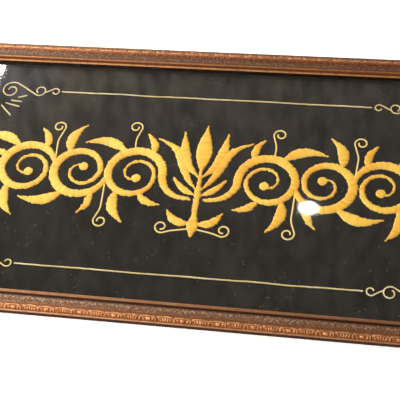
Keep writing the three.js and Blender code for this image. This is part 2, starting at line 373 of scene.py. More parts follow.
# A soft edged block: 1 inside and 0 outside, as the product of two eased steps
def block(along, inset, shape):
    lean = (inset - shape["u"]) * shape["lean"]
    a = shape["half"] - magnitude(along - shape["at"] + lean)
    b = shape["deep"] - magnitude(inset - shape["u"])
    return ease(a, -softEdge, softEdge) * ease(b, -softEdge, softEdge)


# A ridge along the parabola low + rise times (1 minus (distance over half) squared)
def archRidge(along, inset, arch):
    share = magnitude(along - arch["at"]) / arch["half"]
    away = magnitude(inset - arch["low"] - (1 - share * share) * arch["rise"]) / arch["thick"]
    return (1 - ease(away, ridge["core"], ridge["foot"])) * (1 - ease(share, *ridge["ends"]))


# Relief over the band: the highest of the blocks and the ridges
def pressedRelief(along, inset):
    where = wrap(along, moulding["repeat"])
    ridges = [archRidge(where, inset, arch) * top for arch, top in zip(arches, ridge["heights"])]
    height = larger(*ridges)
    for shape in ornament:
        height = larger(height, block(where, inset, shape))
    return height


# The section worked up to fine points: straight between its corners
def fineSection():
    corners = np.array([(u, h) for u, h, count in moulding["section"]])
    following = np.roll(corners, -1, axis=0)
    runs = []
    for corner, after, (u, h, count) in zip(corners, following, moulding["section"]):
        share = np.arange(count)[:, None] / count
        runs.append(corner * (1 - share) + after * share)
    return np.concatenate(runs)


# Rises from 0 to 1 past the zone's start and falls back to 0 before its end, in straight lines
def fadeOver(inset, zone):
    rising = np.clip((inset - zone["start"]) / zone["rise"], 0, 1)
    return rising * np.clip((zone["end"] - inset) / zone["fall"], 0, 1)


# Lumpy fields of several sizes added up
def lumpSum(along, inset, layers, rail):
    return sum(lumps(along, inset * squeeze, cell, seed + rail) * share
               for cell, squeeze, share, seed in layers)


# A rail: the section carried along the rail, its ends on the mitre, where half the length falls
# off by u. The relief lifts it square to the section.
def railTube(length, span, turn, rail):
    section = fineSection()
    u, h = section[:, 0], section[:, 1]
    ahead = np.roll(section, -1, axis=0) - np.roll(section, 1, axis=0)
    ahead /= np.linalg.norm(ahead, axis=1)[:, None]
    outward = np.stack([ahead[:, 1], -ahead[:, 0]], -1)
    count = int(length / moulding["stepAlong"])
    share = np.linspace(-1, 1, count)[:, None]
    along = share * (length / 2 - u[None] - moulding["sawCut"])
    inset = np.broadcast_to(u, along.shape)
    band, channel = moulding["band"], moulding["channel"]
    face = (h > moulding["face"]["h"]) & (u > moulding["face"]["u"])
    onBand = face & (u > band["start"]) & (u < band["end"])
    onChannel = face & (u > channel["start"]) & (u < channel["end"])
    shifted = along + rail * moulding["shiftOfRail"] + moulding["origin"]
    relief = np.where(onBand, pressedRelief(shifted, inset), 0.0) * fadeOver(inset, band)
    texture = lumpSum(shifted, inset, moulding["channelLumps"], rail) * fadeOver(inset, channel)
    lift = relief * moulding["reliefHeight"] - band["sink"] * onBand
    lift = lift + np.where(onChannel, texture * channel["lift"], 0.0)
    lift = np.where(face, lift + lumpSum(shifted, inset, moulding["wearLumps"], rail), 0.0)
    across = inset + lift * outward[:, 0]
    height = h + lift * outward[:, 1]
    x, y = along, across - span / 2
    cos, sin = math.cos(turn), math.sin(turn)
    outerSide = (h < moulding["face"]["h"]) & (u < moulding["back"]["u"])
    faceSide = np.where(h > moulding["back"]["h"], 1.0, 0.0)
    return {
        "grid": np.stack([x * cos - y * sin, x * sin + y * cos, height], -1),
        "inset": np.where(outerSide, 0.0, inset),
        "alongRail": shifted,
        "faceSide": np.broadcast_to(faceSide, along.shape),
    }


mouldingColours = [
    # u, colour at that distance from the outer edge: the gilt and paint, with painted shade in the grooves
    # and at the sight edge and painted highlight on the ledge
    (0.0, (46, 20, 6)), (0.95, (46, 20, 6)), (1.2, (172, 126, 92)), (2.5, (180, 132, 98)),
    (2.9, (100, 56, 28)), (3.4, (200, 128, 74)), (5.0, (180, 112, 62)), (6.2, (184, 126, 82)),
    (7.8, (168, 116, 76)), (8.6, (132, 84, 50)), (10.3, (100, 62, 38)), (10.9, (104, 68, 46)),
    (13.5, (108, 76, 53)), (16.8, (104, 73, 52)), (18.2, (86, 54, 38)), (18.6, (42, 18, 10)),
    (19.3, (46, 22, 12)), (19.6, (134, 96, 64)), (21.5, (138, 102, 70)), (21.8, (128, 78, 42)),
    (22.3, (156, 104, 66)), (22.8, (194, 144, 100)), (23.3, (190, 142, 102)), (23.8, (158, 114, 80)),
    (24.2, (92, 56, 32)), (24.6, (30, 11, 3)),
]
# The same for the rail that is turned away from the light
farColours = [
    (0.0, (46, 20, 6)), (0.95, (46, 20, 6)), (1.2, (112, 84, 64)), (2.5, (118, 88, 66)),
    (3.2, (92, 58, 36)), (5.0, (118, 76, 46)), (6.2, (168, 112, 72)), (8.4, (206, 144, 98)),
    (9.0, (122, 64, 28)), (10.2, (96, 46, 18)), (11.2, (74, 34, 15)), (12.5, (76, 45, 24)),
    (16.0, (76, 47, 26)), (17.6, (96, 59, 32)), (18.4, (66, 34, 18)), (19.3, (66, 34, 18)),
    (19.6, (140, 98, 68)), (21.4, (148, 104, 70)), (22.0, (128, 64, 22)), (22.6, (128, 66, 24)),
    (23.0, (172, 116, 70)), (23.4, (224, 172, 122)), (24.3, (216, 164, 114)), (24.6, (36, 14, 4)),
]
# Gilding. A zone over u starts, is full, falls and ends. A pair is where a mask is 0 and is 1.
gilding = {
    "rampEnd": 25.0,
    "band": (2.9, 3.4, 8.6, 9.6),
    "hollow": (7.8, 9.0, 11.6, 13.2),
    "channel": (11.2, 12.2, 17.6, 18.4),
    "ledge": (19.3, 19.8),
    "side": (0.9, 1.1),
    "faceSide": (0.3, 0.7),
    "far": (0.05, 0.13),            # metres along Y
    "right": (-0.2, 0.28),          # metres along X
    # scale, detail and roughness of each noise
    "cloudy": (60.0, 4.0, 0.6),
    "fine": (900.0, 3.0, 0.6),
    "speck": (620.0, 2.0, 0.5),
    "mottle": (170.0, 3.0, 0.6),
    "worn": (42.0, 3.0, 0.6),
    "woodGrain": ((1, 1, 6), 90.0, 5.0),
    "zigzags": [
        {"stretch": 1.0, "wander": 6.0, "repeat": 4.6, "slope": 0.9, "u": 13.9, "edge": (0.15, 0.55)},
        {"stretch": 1.31, "wander": 9.0, "repeat": 3.8, "slope": -0.8, "u": 16.6, "edge": (0.12, 0.5)},
    ],
    "rough": {"least": 0.36, "fine": 0.16, "dull": 0.25, "side": 0.3},
    "gloss": {"Coat_Weight": 0.08, "Coat_Roughness": 0.3, "Specular_IOR_Level": 0.3},
    "bumpDepth": 0.00035,
}
giltTones = {
    "recess": (92, 40, 14), "lit": (244, 186, 128), "rubbed": (112, 58, 26), "zigzag": (208, 178, 148),
    "dusk": (58, 36, 26), "fleck": (166, 110, 64), "pit": (74, 34, 14), "cloud": (92, 54, 28),
    "stain": (104, 56, 24), "shade": (72, 28, 6), "wood": (196, 160, 116), "grain": (150, 112, 74),
}


# 1 over a zone and 0 outside it, smooth at both sides
def overZone(inset, zone):
    starts, full, falls, ends = zone
    return inset.step(starts, full) * (1 - inset.step(falls, ends))


# A line that swings about a middle u by slope times a triangle wave: 1 on it and 0 away from it
def zigzag(along, inset, cloudy, line):
    wave = wrap(along * line["stretch"] + cloudy * line["wander"], line["repeat"]) - line["repeat"] / 2
    away = (inset - line["u"] - wave.magnitude() * line["slope"]).magnitude()
    return 1 - away.step(*line["edge"])


# Gilt and paint by the distance in from the outer edge, with painted light and shade for each rail, then
# wear, patterns, painted highlights and painted shade laid over by masks
def mouldingFinish():
    finish = Finish("pressedGiltWood")
    where = finish.place()
    inset = finish.attribute("inset")
    along = finish.attribute("alongRail")
    faceSide = finish.attribute("faceSide").step(*gilding["faceSide"])
    cloudy, fine, speck, mottle, worn = (finish.noise(where, *gilding[name])
                                         for name in ("cloudy", "fine", "speck", "mottle", "worn"))
    worn = worn.step(0.36, 0.62)
    far = finish.across(where, 1).step(*gilding["far"])
    right = finish.across(where, 0).step(*gilding["right"])
    onBand, hollow, onChannel = (overZone(inset, gilding[zone]) for zone in ("band", "hollow", "channel"))
    end = gilding["rampEnd"]
    # painted light and shade: the near rail's ramp, or the far rail's, which is turned away from the light,
    # blended by the place along Y
    near, turned = (finish.ramp(inset / end, [(u / end, paint(*tone)) for u, tone in table])
                    for table in (mouldingColours, farColours))
    colour = finish.blend(far, near, turned)
    # band: dark toning and painted shade round the relief, painted highlight on its tops, and gilt rubbed
    # off in dark flecks, which the bead and the ledge have as well
    relief = pressedRelief(along, inset) * onBand
    # painted shade with dark toning round the relief, weaker towards the right, where less light falls
    depth = (worn * 0.24 + 0.26) * (1 - right * 0.35)
    colour = finish.coat(onBand * (1 - relief.step(0.05, 0.8)) * depth, colour, giltTones["recess"])
    # painted highlight on the tops of the relief
    lit = relief.step(0.45, 1.0) * mottle.step(0.34, 0.6) * (worn * 0.32 + 0.34)
    colour = finish.coat(lit, colour, giltTones["lit"])
    rubbed = onBand.larger(inset.step(*gilding["ledge"])) * (1 - speck.step(0.38, 0.5))
    colour = finish.coat(rubbed * 0.34, colour, giltTones["rubbed"])
    # channel: two broken zigzag lines over a mottled ground
    lineOne, lineTwo = (zigzag(along, inset, cloudy, line) for line in gilding["zigzags"])
    drawn = lineOne.larger(lineTwo).larger(speck.step(0.6, 0.68)) * speck.step(0.43, 0.55) * onChannel
    # the zigzags are painted fainter on the far rail, which is turned away from the light
    colour = finish.coat(drawn * (0.62 - far * 0.34), colour, giltTones["zigzag"])
    colour = finish.coat((1 - speck.step(0.36, 0.48)) * onChannel * 0.6, colour, giltTones["dusk"])
    # flecks of worn gilt in the hollow between the band and the channel
    # worn gilt flecks, painted weaker on the near rail than on the far one as part of the two rails'
    # painted light and shade
    hollow = hollow * (far * 0.3 + 0.7)
    colour = finish.coat(hollow * speck.step(0.46, 0.6) * 0.4, colour, giltTones["fleck"])
    colour = finish.coat(hollow * (1 - speck.step(0.4, 0.52)) * 0.45, colour, giltTones["pit"])
    # over all: clouds, stains, and painted shade that darkens towards the right, where less light falls
    colour = finish.coat(cloudy.step(0.42, 0.7) * 0.2, colour, giltTones["cloud"])
    colour = finish.coat((1 - mottle.step(0.36, 0.56)) * 0.3, colour, giltTones["stain"])
    colour = finish.coat(right * 0.42 * (onChannel * 0.65 + 0.35), colour, giltTones["shade"])
    stretch, grainScale, grainDetail = gilding["woodGrain"]
    grain = finish.noise(finish.stretched(where, stretch), grainScale, grainDetail)
    bareWood = finish.blend(grain, paint(*giltTones["wood"]), paint(*giltTones["grain"]))
    colour = finish.blend(faceSide, bareWood, colour)
    gilt = faceSide * (1 - onChannel * 0.8)
    side = 1 - inset.step(*gilding["side"])
    rough = gilding["rough"]
    roughness = fine * rough["fine"] + rough["least"] + (1 - gilt) * rough["dull"] + side * rough["side"]
    height = relief * 0.8 + fine * 0.12 + drawn * 0.35 + speck * onChannel * 0.3
    return finish.feed(Base_Color=colour, Roughness=roughness, Metallic=gilt * (0.5 + side * 0.4),
                       Normal=finish.bump(height, gilding["bumpDepth"]), **gilding["gloss"])


# Four rails, each a quarter turn on from the one before
def makeMoulding():
    material = mouldingFinish()
    rails = [
        ("bottom", moulding["length"], moulding["height"], 0.0),
        ("right", moulding["height"], moulding["length"], math.pi / 2),
        ("top", moulding["length"], moulding["height"], math.pi),
        ("left", moulding["height"], moulding["length"], -math.pi / 2),
    ]
    fields = ("inset", "alongRail", "faceSide")
    for number, (side, length, span, turn) in enumerate(rails):
        tube = railTube(length, span, turn, number)
        piece = makePiece("moulding_" + side, [tube], material, fields)
        settle(piece, "frame_wood", "rail_" + side)


makeMoulding()
print("moulding built")


# Centre lines of the stitching, in millimetres on the cloth
sight = {"x": 285.3, "y": 140.3}
border = {
    "inset": 33.0,
    "offset": np.array([0.0, -2.1]),    # off the middle of the frame
    "lineStart": 118.0,
    "bigScroll": {"x": 61, "y": 34, "r": 11, "wind": 480, "eye": 3},
    "middleCurl": {"x": 94, "y": 33, "r": -6.8, "wind": 370, "eye": 3.2},
    "smallCurl": {"x": 111.5, "y": 33.5, "r": 4.6, "wind": 300, "eye": 2.6},
    "smallCurlRoot": {"x": 100, "y": 35.4, "r": 0},
    # the last ray lies on the corner's diagonal
    "rays": [
        ((71, 44), (81, 40.4)), ((64, 48), (77, 49.4)), ((59, 52), (76, 56.4)), ((55, 55), (69, 69)),
    ],
    "points": {"line": 200, "ray": 30},
}
vine = {
    "y": 4.0,
    "radius": 28.5,
    "firstX": 67.0,
    "scrolls": 3,
    "rootX": 13.0,
    "footX": 6.0,
    "wind": {"hold": 180, "wind": 470, "eye": 5.5},
    "stroke": {"hair": 2.2, "full": 9.5, "peak": 0.3},
    "eyeRadius": 5.0,
    "eyeLift": 0.12,
    "leafPeak": 0.42,
    "leafLift": -0.1,
    # scrolls that have the leaf, angle round the scroll, length, turn outwards, bow, width
    "leaves": [
        ((0, 1, 2), 58, 29, 38, -4, 8), ((0, 1, 2), 116, 48, 38, -8, 11.5), ((2,), 150, 25, 58, -4, 8),
        ((0, 1, 2), 232, 40, 34, -7, 11), ((0,), 285, 28, 42, -4, 8),
    ],
}
# Hairlines: root, the circle that the line bends round, and the circle that it curls up in
tendrils = {
    "vine": [
        ({"x": 72, "y": 32, "r": 0}, {"x": 48, "y": 45, "r": 25}, {"x": 76, "y": 63, "r": -7}),
        ({"x": 96.5, "y": -4, "r": 0}, {"x": 120, "y": -36, "r": 25}, {"x": 92.6, "y": -54.5, "r": -7}),
        ({"x": 153.5, "y": 12, "r": 0}, {"x": 131, "y": 38, "r": 25}, {"x": 158.5, "y": 58, "r": -7}),
    ],
    "flower": [({"x": 1, "y": -56, "r": 0}, {"x": 14, "y": -84, "r": -25}, {"x": 30.5, "y": -56, "r": 7})],
    "end": {"wind": 400, "eye": 2.6},
    "width": 1.7,
    "lift": -0.14,
}
flower = {
    "petalPeak": 0.5,
    "petalDrop": 0.08,      # each petal lies lower than the one before
    "spinePeak": 0.45,
    "spineLift": 0.06,
    # foot, tip, bow, sway, width
    "petals": [
        ((1, 4), (23, 61), -7, -1, 11), ((1, -12), (50, 50), 6, -4, 10),
        ((1, -18), (27, 3), -3, 0, 7), ((1, -50), (28, -36), -6, 0, 9),
    ],
    "spine": [((0, -62), (0, 24), 0, 0, 6), ((0, 10), (0, 70), 0, 0, 16), ((0, -66), (0, -36), 0, 0, 11)],
    "hair": 1.6,
}


windStep = 0.03     # radians between the points of a curl
arcPoints = 60      # points of an arc between two lines, and of a leaf


# Heading of the line from circle p to circle q, each turned anticlockwise where its radius is
# plus: the bearing between their middles less the angle of (radius difference over the length)
def tangentHeading(p, q):
    across = q["r"] - p["r"]
    span = math.hypot(q["x"] - p["x"], q["y"] - p["y"])
    along = math.sqrt(max(0.0, span * span - across * across))
    return math.atan2(q["y"] - p["y"], q["x"] - p["x"]) - math.atan2(across, along)


# Round the circle for hold degrees, then in to the eye: the radius falls evenly with the angle
def windIn(circle, radius, heading):
    sense = math.copysign(1, radius)
    hold, wind = math.radians(circle.get("hold", 0)), math.radians(circle["wind"])
    swept = np.arange(0, hold + wind, windStep)
    reach = abs(radius) + (circle["eye"] - abs(radius)) * np.maximum(0, swept - hold) / wind
    angle = heading - sense * math.pi / 2 + sense * swept
    return np.stack([circle["x"] + reach * np.cos(angle), circle["y"] + reach * np.sin(angle)], -1)


# An end of the belt: the point itself, or a curl round the circle
def beltEnd(circle, radius, heading):
    if circle["r"] == 0:
        return np.array([[circle["x"], circle["y"]]], float)
    return windIn(circle, radius, heading)


# A belt run from circle to circle that winds in at each end that is a circle and not a point
def scrollLine(circles):
    headings = [tangentHeading(p, q) for p, q in zip(circles, circles[1:])]
    first, last = circles[0], circles[-1]
    runs = [beltEnd(first, -first["r"], headings[0] + math.pi)[::-1]]
    for circle, arrive, leave in zip(circles[1:-1], headings, headings[1:]):
        sense = math.copysign(1, circle["r"])
        sweep = (sense * (leave - arrive)) % (2 * math.pi)
        angle = arrive - sense * math.pi / 2 + sense * np.linspace(0, sweep, arcPoints)
        runs.append(np.stack([circle["x"] + abs(circle["r"]) * np.cos(angle),
                              circle["y"] + abs(circle["r"]) * np.sin(angle)], -1))
    runs.append(beltEnd(last, last["r"], headings[-1]))
    return np.concatenate(runs)


# Straight from foot to tip, plus bow times a half sine and sway times a full sine to the left
def leafLine(foot, tip, bow, sway):
    foot, tip = np.array(foot, float), np.array(tip, float)
    t = np.linspace(0, 1, arcPoints)[:, None]
    along = tip - foot
    left = np.array([-along[1], along[0]]) / np.linalg.norm(along)
    return foot + along * t + left * (bow * np.sin(np.pi * t) + sway * np.sin(2 * np.pi * t))


# The line walked again in even steps, with its heading's left normal and the distance walked.
# Points that repeat the one before are dropped first.
def evenly(line, step):
    jump = np.linalg.norm(np.diff(line, axis=0), axis=1)
    line = line[np.concatenate([[True], jump > 1e-6])]
    walked = np.concatenate([[0], np.cumsum(np.linalg.norm(np.diff(line, axis=0), axis=1))])
    marks = np.linspace(0, walked[-1], max(8, int(walked[-1] / step)))
    smooth = np.stack([np.interp(marks, walked, line[:, k]) for k in (0, 1)], -1)
    ahead = np.gradient(smooth, axis=0)
    ahead /= np.linalg.norm(ahead, axis=1)[:, None]
    return smooth, np.stack([-ahead[:, 1], ahead[:, 0]], -1), marks


# Rounding of both ends: the square root of 1 minus (1 minus share) squared, where share is the
# distance from the nearer end over reach, and at most 1
def roundedEnds(walked, reach):
    share = np.clip(np.minimum(walked, walked[-1] - walked) / reach, 0, 1)
    return np.sqrt(1 - (1 - share) ** 2)


satin = {
    "pitch": 1.1,               # one thread
    "step": 0.21,
    "slant": 0.22,              # how far a thread leans over the width
    "around": 10,
    "rib": 0.22,
    "ragged": 0.62,             # single threads past the edge, and slower bends of the edge
    "wander": 0.42,
    "wanderCell": 2.5,
    "straightUnder": 0.9,       # half width under which the edge stays straight
    "swell": 1.4,
    "blunt": 0.6,
    "leastEnd": 0.05,
    "crown": {"most": 1.15, "least": 0.42, "ofWidth": 0.11, "atEnds": 0.55, "power": 0.3},
    "loose": 0.05,
    "clothTop": 5.3,
    "sink": {"top": 0.12, "under": 0.15},
    "highest": 6.95,
    # painted sheen: the bearing at which the threads are painted lightest
    "shine": (0.94, -0.34),     # sine and cosine of twice the bearing where the threads look lightest
    "tones": {
        "deep": (248, 192, 56), "light": (255, 212, 78), "bundle": (226, 146, 32), "shine": (255, 226, 104),
        "dull": (232, 156, 40), "edge": (255, 230, 140), "pale": (248, 226, 150), "groove": (176, 112, 28),
    },
    "gloss": {"Sheen_Weight": 0.08, "Sheen_Roughness": 0.4, "Specular_IOR_Level": 0.4},
    "bumpDepth": 0.00012,
}


# Satin stitch along a line: threads lie side by side across the stroke. The width swells as a sine
# to the swell's power, and is full at peak. The surface is a crown times (1 minus v squared) to
# the 0.3, plus a rib of absolute sine along the thread count.
def satinTube(line, hair, full, peak, seed, lift=0.0, blunt=satin["blunt"], pale=0.0):
    middle, left, walked = evenly(line, satin["step"])
    crown = satin["crown"]
    swell = np.sin(np.pi * (walked / walked[-1]) ** (math.log(0.5) / math.log(peak))) ** satin["swell"]
    width = hair + (full - hair) * swell
    half = width[:, None] / 2
    rounding = roundedEnds(walked, blunt)[:, None]
    v = np.cos(np.linspace(0, math.pi, satin["around"]))[None]
    thread = (walked[:, None] + satin["slant"] * half * v) / satin["pitch"] + seed * 0.37
    number = np.floor(thread)
    rib = np.abs(np.sin(np.pi * thread))
    ragged = lumps(number * 1.7, np.sign(v) * 3.1 + seed, 1.0, 5) * satin["ragged"]
    wander = lumps(walked[:, None], np.sign(v) * 5.1 + seed * 3, satin["wanderCell"], 6) * satin["wander"]
    spread = half + (ragged + wander) * (half > satin["straightUnder"])
    spread = spread * np.maximum(rounding, satin["leastEnd"])
    tall = np.minimum(crown["most"], crown["least"] + crown["ofWidth"] * width)[:, None]
    tall = tall * (crown["atEnds"] + (1 - crown["atEnds"]) * rounding)
    dome = (1 - 0.995 * v ** 2) ** crown["power"]
    loose = lumps(number * 1.3, seed, 1.0, 9) * satin["loose"]
    height = satin["clothTop"] - satin["sink"]["top"] + lift + tall * dome
    height = height + (rib * satin["rib"] + loose) * (0.35 + 0.65 * dome)
    place = middle[:, None] + left[:, None] * (v * spread)[..., None]
    top = np.concatenate([place, np.minimum(height, satin["highest"])[..., None]], -1)
    under = top[:, [-1, 0]].copy()
    under[:, :, 2] = satin["clothTop"] - satin["sink"]["under"] + lift
    # painted sheen: 1 where the threads lie at the bearing that is painted lightest, -1 square to it
    sine, cosine = satin["shine"]
    bearing = left[:, 0] * left[:, 1] * 2 * sine + (left[:, 0] ** 2 - left[:, 1] ** 2) * cosine
    fields = {
        "rib": rib,
        "across": v,
        "strand": number + seed * 17,
        "bearing": bearing[:, None],
        "pale": np.array([[pale]]),
    }
    tube = {"grid": np.concatenate([top, under], 1)}
    for name, field in fields.items():
        over = np.broadcast_to(field, top.shape[:2])
        tube[name] = np.concatenate([over, over[:, [-1, 0]]], 1)
    return tube


# Over to the other side of the middle where side is -1
def mirrored(line, side):
    return line * np.array([side, 1.0])


# Hairlines: each bends round its first circle and curls up in its second
def tendrilTubes(kind, side):
    tubes = []
    width = tendrils["width"]
    for number, (root, bend, curl) in enumerate(tendrils[kind]):
        line = mirrored(scrollLine([root, bend, {**curl, **tendrils["end"]}]), side)
        tubes.append(satinTube(line, width, width, 0.5, 80 + number, lift=tendrils["lift"], pale=1.0))
    return tubes


# The line of scroll n: in from the root, or from the scroll before, then round and in to its eye
def vineScroll(n, centre, sense):
    radius = vine["radius"]
    if n == 0:
        bend = centre["x"] - radius - vine["rootX"]
        start = [{"x": vine["footX"], "y": vine["y"] - bend - 1, "r": 0},
                 {"x": vine["rootX"], "y": vine["y"], "r": bend}]
    else:
        start = [{"x": centre["x"] - radius, "y": vine["y"], "r": 0}]
    return scrollLine(start + [{**centre, "r": sense * radius, **vine["wind"]}])


# A leaf's line: its foot is on the scroll at an angle, where the radius has fallen evenly, and it
# heads off the scroll by its turn
def vineLeaf(centre, sense, at, length, turn, bow):
    share = max(0, at - vine["wind"]["hold"]) / vine["wind"]["wind"]
    reach = vine["radius"] + (vine["wind"]["eye"] - vine["radius"]) * share
    angle = math.pi + sense * math.radians(at)
    heading = angle + sense * math.pi / 2 - sense * math.radians(turn)
    foot = (centre["x"] + reach * math.cos(angle), centre["y"] + reach * math.sin(angle))
    tip = (foot[0] + length * math.cos(heading), foot[1] + length * math.sin(heading))
    return leafLine(foot, tip, sense * bow, 0)


# One side of the vine, laid out as in the solids: scroll n turns the other way from scroll n - 1
def vineTubes(side):
    tubes = []
    eyeRadius = vine["eyeRadius"]
    nod = np.array([[-1.0, 0.0], [1.0, 0.0]]) * (eyeRadius - 0.1)
    for n in range(vine["scrolls"]):
        sense = -1 if n % 2 == 0 else 1
        seed = n + 1
        centre = {"x": vine["firstX"] + 2 * vine["radius"] * n, "y": vine["y"]}
        line = vineScroll(n, centre, sense)
        tubes.append(satinTube(mirrored(line, side), seed=seed, **vine["stroke"]))
        tubes.append(satinTube(mirrored(line[-1] + nod, side), 2 * eyeRadius - 0.5, 2 * eyeRadius, 0.5,
                               seed + 4, lift=vine["eyeLift"], blunt=eyeRadius))
        for number, (scrolls, at, length, turn, bow, full) in enumerate(vine["leaves"]):
            if n in scrolls:
                leaf = mirrored(vineLeaf(centre, sense, at, length, turn, bow), side)
                tubes.append(satinTube(leaf, flower["hair"], full, vine["leafPeak"], seed * 10 + number,
                                       lift=vine["leafLift"]))
    return tubes + tendrilTubes("vine", side)


# Petals on both sides, the spine over them, and the hairlines at the foot
def flowerTubes():
    tubes = []
    for side in (-1, 1):
        for number, (foot, tip, bow, sway, full) in enumerate(flower["petals"]):
            line = mirrored(leafLine(foot, tip, bow, sway), side)
            tubes.append(satinTube(line, flower["hair"], full, flower["petalPeak"], 40 + number,
                                   lift=-flower["petalDrop"] * number))
    for number, (foot, tip, bow, sway, full) in enumerate(flower["spine"]):
        line = leafLine(foot, tip, bow, sway)
        tubes.append(satinTube(line, flower["hair"], full, flower["spinePeak"], 60 + number,
                               lift=flower["spineLift"]))
    return tubes + tendrilTubes("flower", -1) + tendrilTubes("flower", 1)


satinFields = ("rib", "strand", "across", "bearing", "pale")


# Gold with a painted sheen and painted shade that turn with the bearing of the threads, pale at their ends,
# and with painted shade between them
def satinFinish():
    finish = Finish("goldSatinStitch")
    tones = satin["tones"]
    rib, strand, across, bearing, pale = (finish.attribute(name) for name in satinFields)
    drift = finish.noise(finish.place(), 22.0, 3.0, 0.5)
    tint = finish.node("TexWhiteNoise", "Value", {"noise_dimensions": "1D"}, W=strand)
    bundle = finish.node("TexNoise", "Fac", {"noise_dimensions": "1D"}, W=strand * 0.36, Scale=1.0,
                         Detail=2.0)
    alongThread = finish.node("CombineXYZ", X=strand * 9.0 + rib * 5.0, Y=across * 2.0)
    fibre = finish.node("TexNoise", "Fac", {"noise_dimensions": "2D"}, Vector=alongThread, Scale=1.0,
                        Detail=2.0)
    gold = finish.blend(drift.step(0.35, 0.65), paint(*tones["deep"]), paint(*tones["light"]))
    bundled = (tint * 0.3 + bundle.step(0.42, 0.62) * 0.7) * 0.8
    # painted sheen and painted shade: threads lighter or darker by their bearing
    lit = bearing * 0.5 + 0.5
    for mask, tone in (
        (bundled, "bundle"),
        (lit * 0.4, "shine"),
        # painted shade on threads turned from the lightest bearing
        ((1 - lit) * 0.3, "dull"),
        ((across * across).step(0.55, 1.0) * 0.6, "edge"),
        (pale * 0.8, "pale"),
        # painted shade in the grooves between the threads
        ((1 - rib.step(0.0, 0.5)) * 0.55, "groove"),
    ):
        gold = finish.coat(mask, gold, tones[tone])
    relief = finish.bump(fibre * 0.5 + rib * 0.5, satin["bumpDepth"])
    return finish.feed(Base_Color=gold, Roughness=fibre * 0.2 + 0.36, Normal=relief, **satin["gloss"])


def makeSatin():
    material = satinFinish()
    for name, tubes, node in (
        ("satin_vine_right", vineTubes(1), "vine_right"),
        ("satin_vine_left", vineTubes(-1), "vine_left"),
        ("satin_flower", flowerTubes(), "flower"),
    ):
        piece = makePiece(name, tubes, material, satinFields)
        settle(piece, "gold_satin", node)


makeSatin()
print("satin stitch worked")


cord = {
    "radius": 0.8,
    "strands": 2,
    "twist": 3.6,           # length of one turn of the twist
    "groove": 0.24,
    "step": 0.42,
    "around": 12,
    "base": 5.25,
    "blunt": 0.9,
    "leastEnd": 0.08,
    "wide": 1.05,           # the section is a little wider than high
    "high": 0.78,
    "lie": 0.72,
    # slow bends aside: cell, size, seed of the field, and what the cord's seed is multiplied by
    "waver": [(6.0, 0.14, 31, 1.0), (34.0, 0.5, 33, 2.1)],
    "tones": {
        "deep": (240, 216, 150), "light": (254, 236, 190), "dusty": (196, 164, 104),
        "groove": (138, 98, 40), "fibre": (166, 132, 66),
    },
    "gloss": {"Roughness": 0.5, "Sheen_Weight": 0.2, "Sheen_Roughness": 0.4},
    "bumpDepth": 0.00006,
}
cordFields = ("lobe", "turnShare", "walked")


# Laid cord: a round section whose radius falls to a groove where the strands meet, as radius times
# (1 minus groove times (1 minus |cos|)), and the section turns once for each twist
def cordTube(line, seed):
    middle, left, walked = evenly(line, cord["step"])
    angle = np.linspace(0, 2 * math.pi, cord["around"], endpoint=False)[None]
    turn = 2 * math.pi * walked[:, None] / cord["twist"] / cord["strands"] + seed
    lobe = np.abs(np.cos((angle - turn) * cord["strands"] / 2))
    waver = sum(lumps(walked, seed * times, cell, own) * size for cell, size, own, times in cord["waver"])
    ends = np.maximum(roundedEnds(walked, cord["blunt"]), cord["leastEnd"])[:, None]
    radius = cord["radius"] * (1 - cord["groove"] * (1 - lobe)) * ends
    aside = radius * np.cos(angle) * cord["wide"] + waver[:, None]
    place = middle[:, None] + left[:, None] * aside[..., None]
    height = cord["base"] + cord["radius"] * cord["lie"] + radius * np.sin(angle) * cord["high"]
    return {
        "grid": np.concatenate([place, height[..., None]], -1),
        "lobe": lobe,
        "turnShare": (angle - turn) / (2 * math.pi),
        "walked": walked[:, None],
    }


# Evenly spaced points from start to end
def straight(start, end, count):
    share = np.linspace(0, 1, count)[:, None]
    return np.asarray(start) * (1 - share) + np.asarray(end) * share


# A corner's points (a along the sight edge, b away from it) placed in one of the four corners, or
# swapped about its diagonal for the arm along Y
def cornerLine(points, sideX, sideY, swap):
    a, b = np.asarray(points, float).T
    if swap:
        a, b = b, a
    return np.stack([sideX * (sight["x"] - a), sideY * (sight["y"] - b)], -1) + border["offset"]


# Pale gold, dusty in places, with painted shade where the strands meet, and finely lined by their fibres
def cordFinish():
    finish = Finish("laidGoldCord")
    tones = cord["tones"]
    where = finish.place()
    lobe, turnShare, walked = (finish.attribute(name) for name in cordFields)
    fibre = (turnShare * 90.0 + walked * 9.0).sine() * 0.5 + 0.5
    drift = finish.noise(where, 16.0, 2.0)
    uneven = finish.noise(where, 110.0, 3.0)
    colour = finish.blend(drift.step(0.4, 0.62), paint(*tones["deep"]), paint(*tones["light"]))
    colour = finish.coat((1 - uneven.step(0.36, 0.56)) * 0.4, colour, tones["dusty"])
    # painted shade where the strands meet
    colour = finish.coat((1 - lobe.step(0.05, 0.55)) * 0.7, colour, tones["groove"])
    colour = finish.coat(fibre * 0.18, colour, tones["fibre"])
    return finish.feed(Base_Color=colour, Normal=finish.bump(fibre, cord["bumpDepth"]), **cord["gloss"])


# Four lines, each from one arm's lineStart to the other's
def makeLines(material):
    x, y = sight["x"], sight["y"]
    inset, start = border["inset"], border["lineStart"]
    top = np.array([[start - x, y - inset], [x - start, y - inset]])
    right = np.array([[x - inset, y - start], [x - inset, start - y]])
    lines = {"top": top, "bottom": -top, "right": right, "left": -right}
    for number, (side, line) in enumerate(lines.items()):
        path = straight(*line, border["points"]["line"]) + border["offset"]
        piece = makePiece("cord_line_" + side, [cordTube(path, number)], material, cordFields)
        settle(piece, "gold_cord", "border_line_" + side)


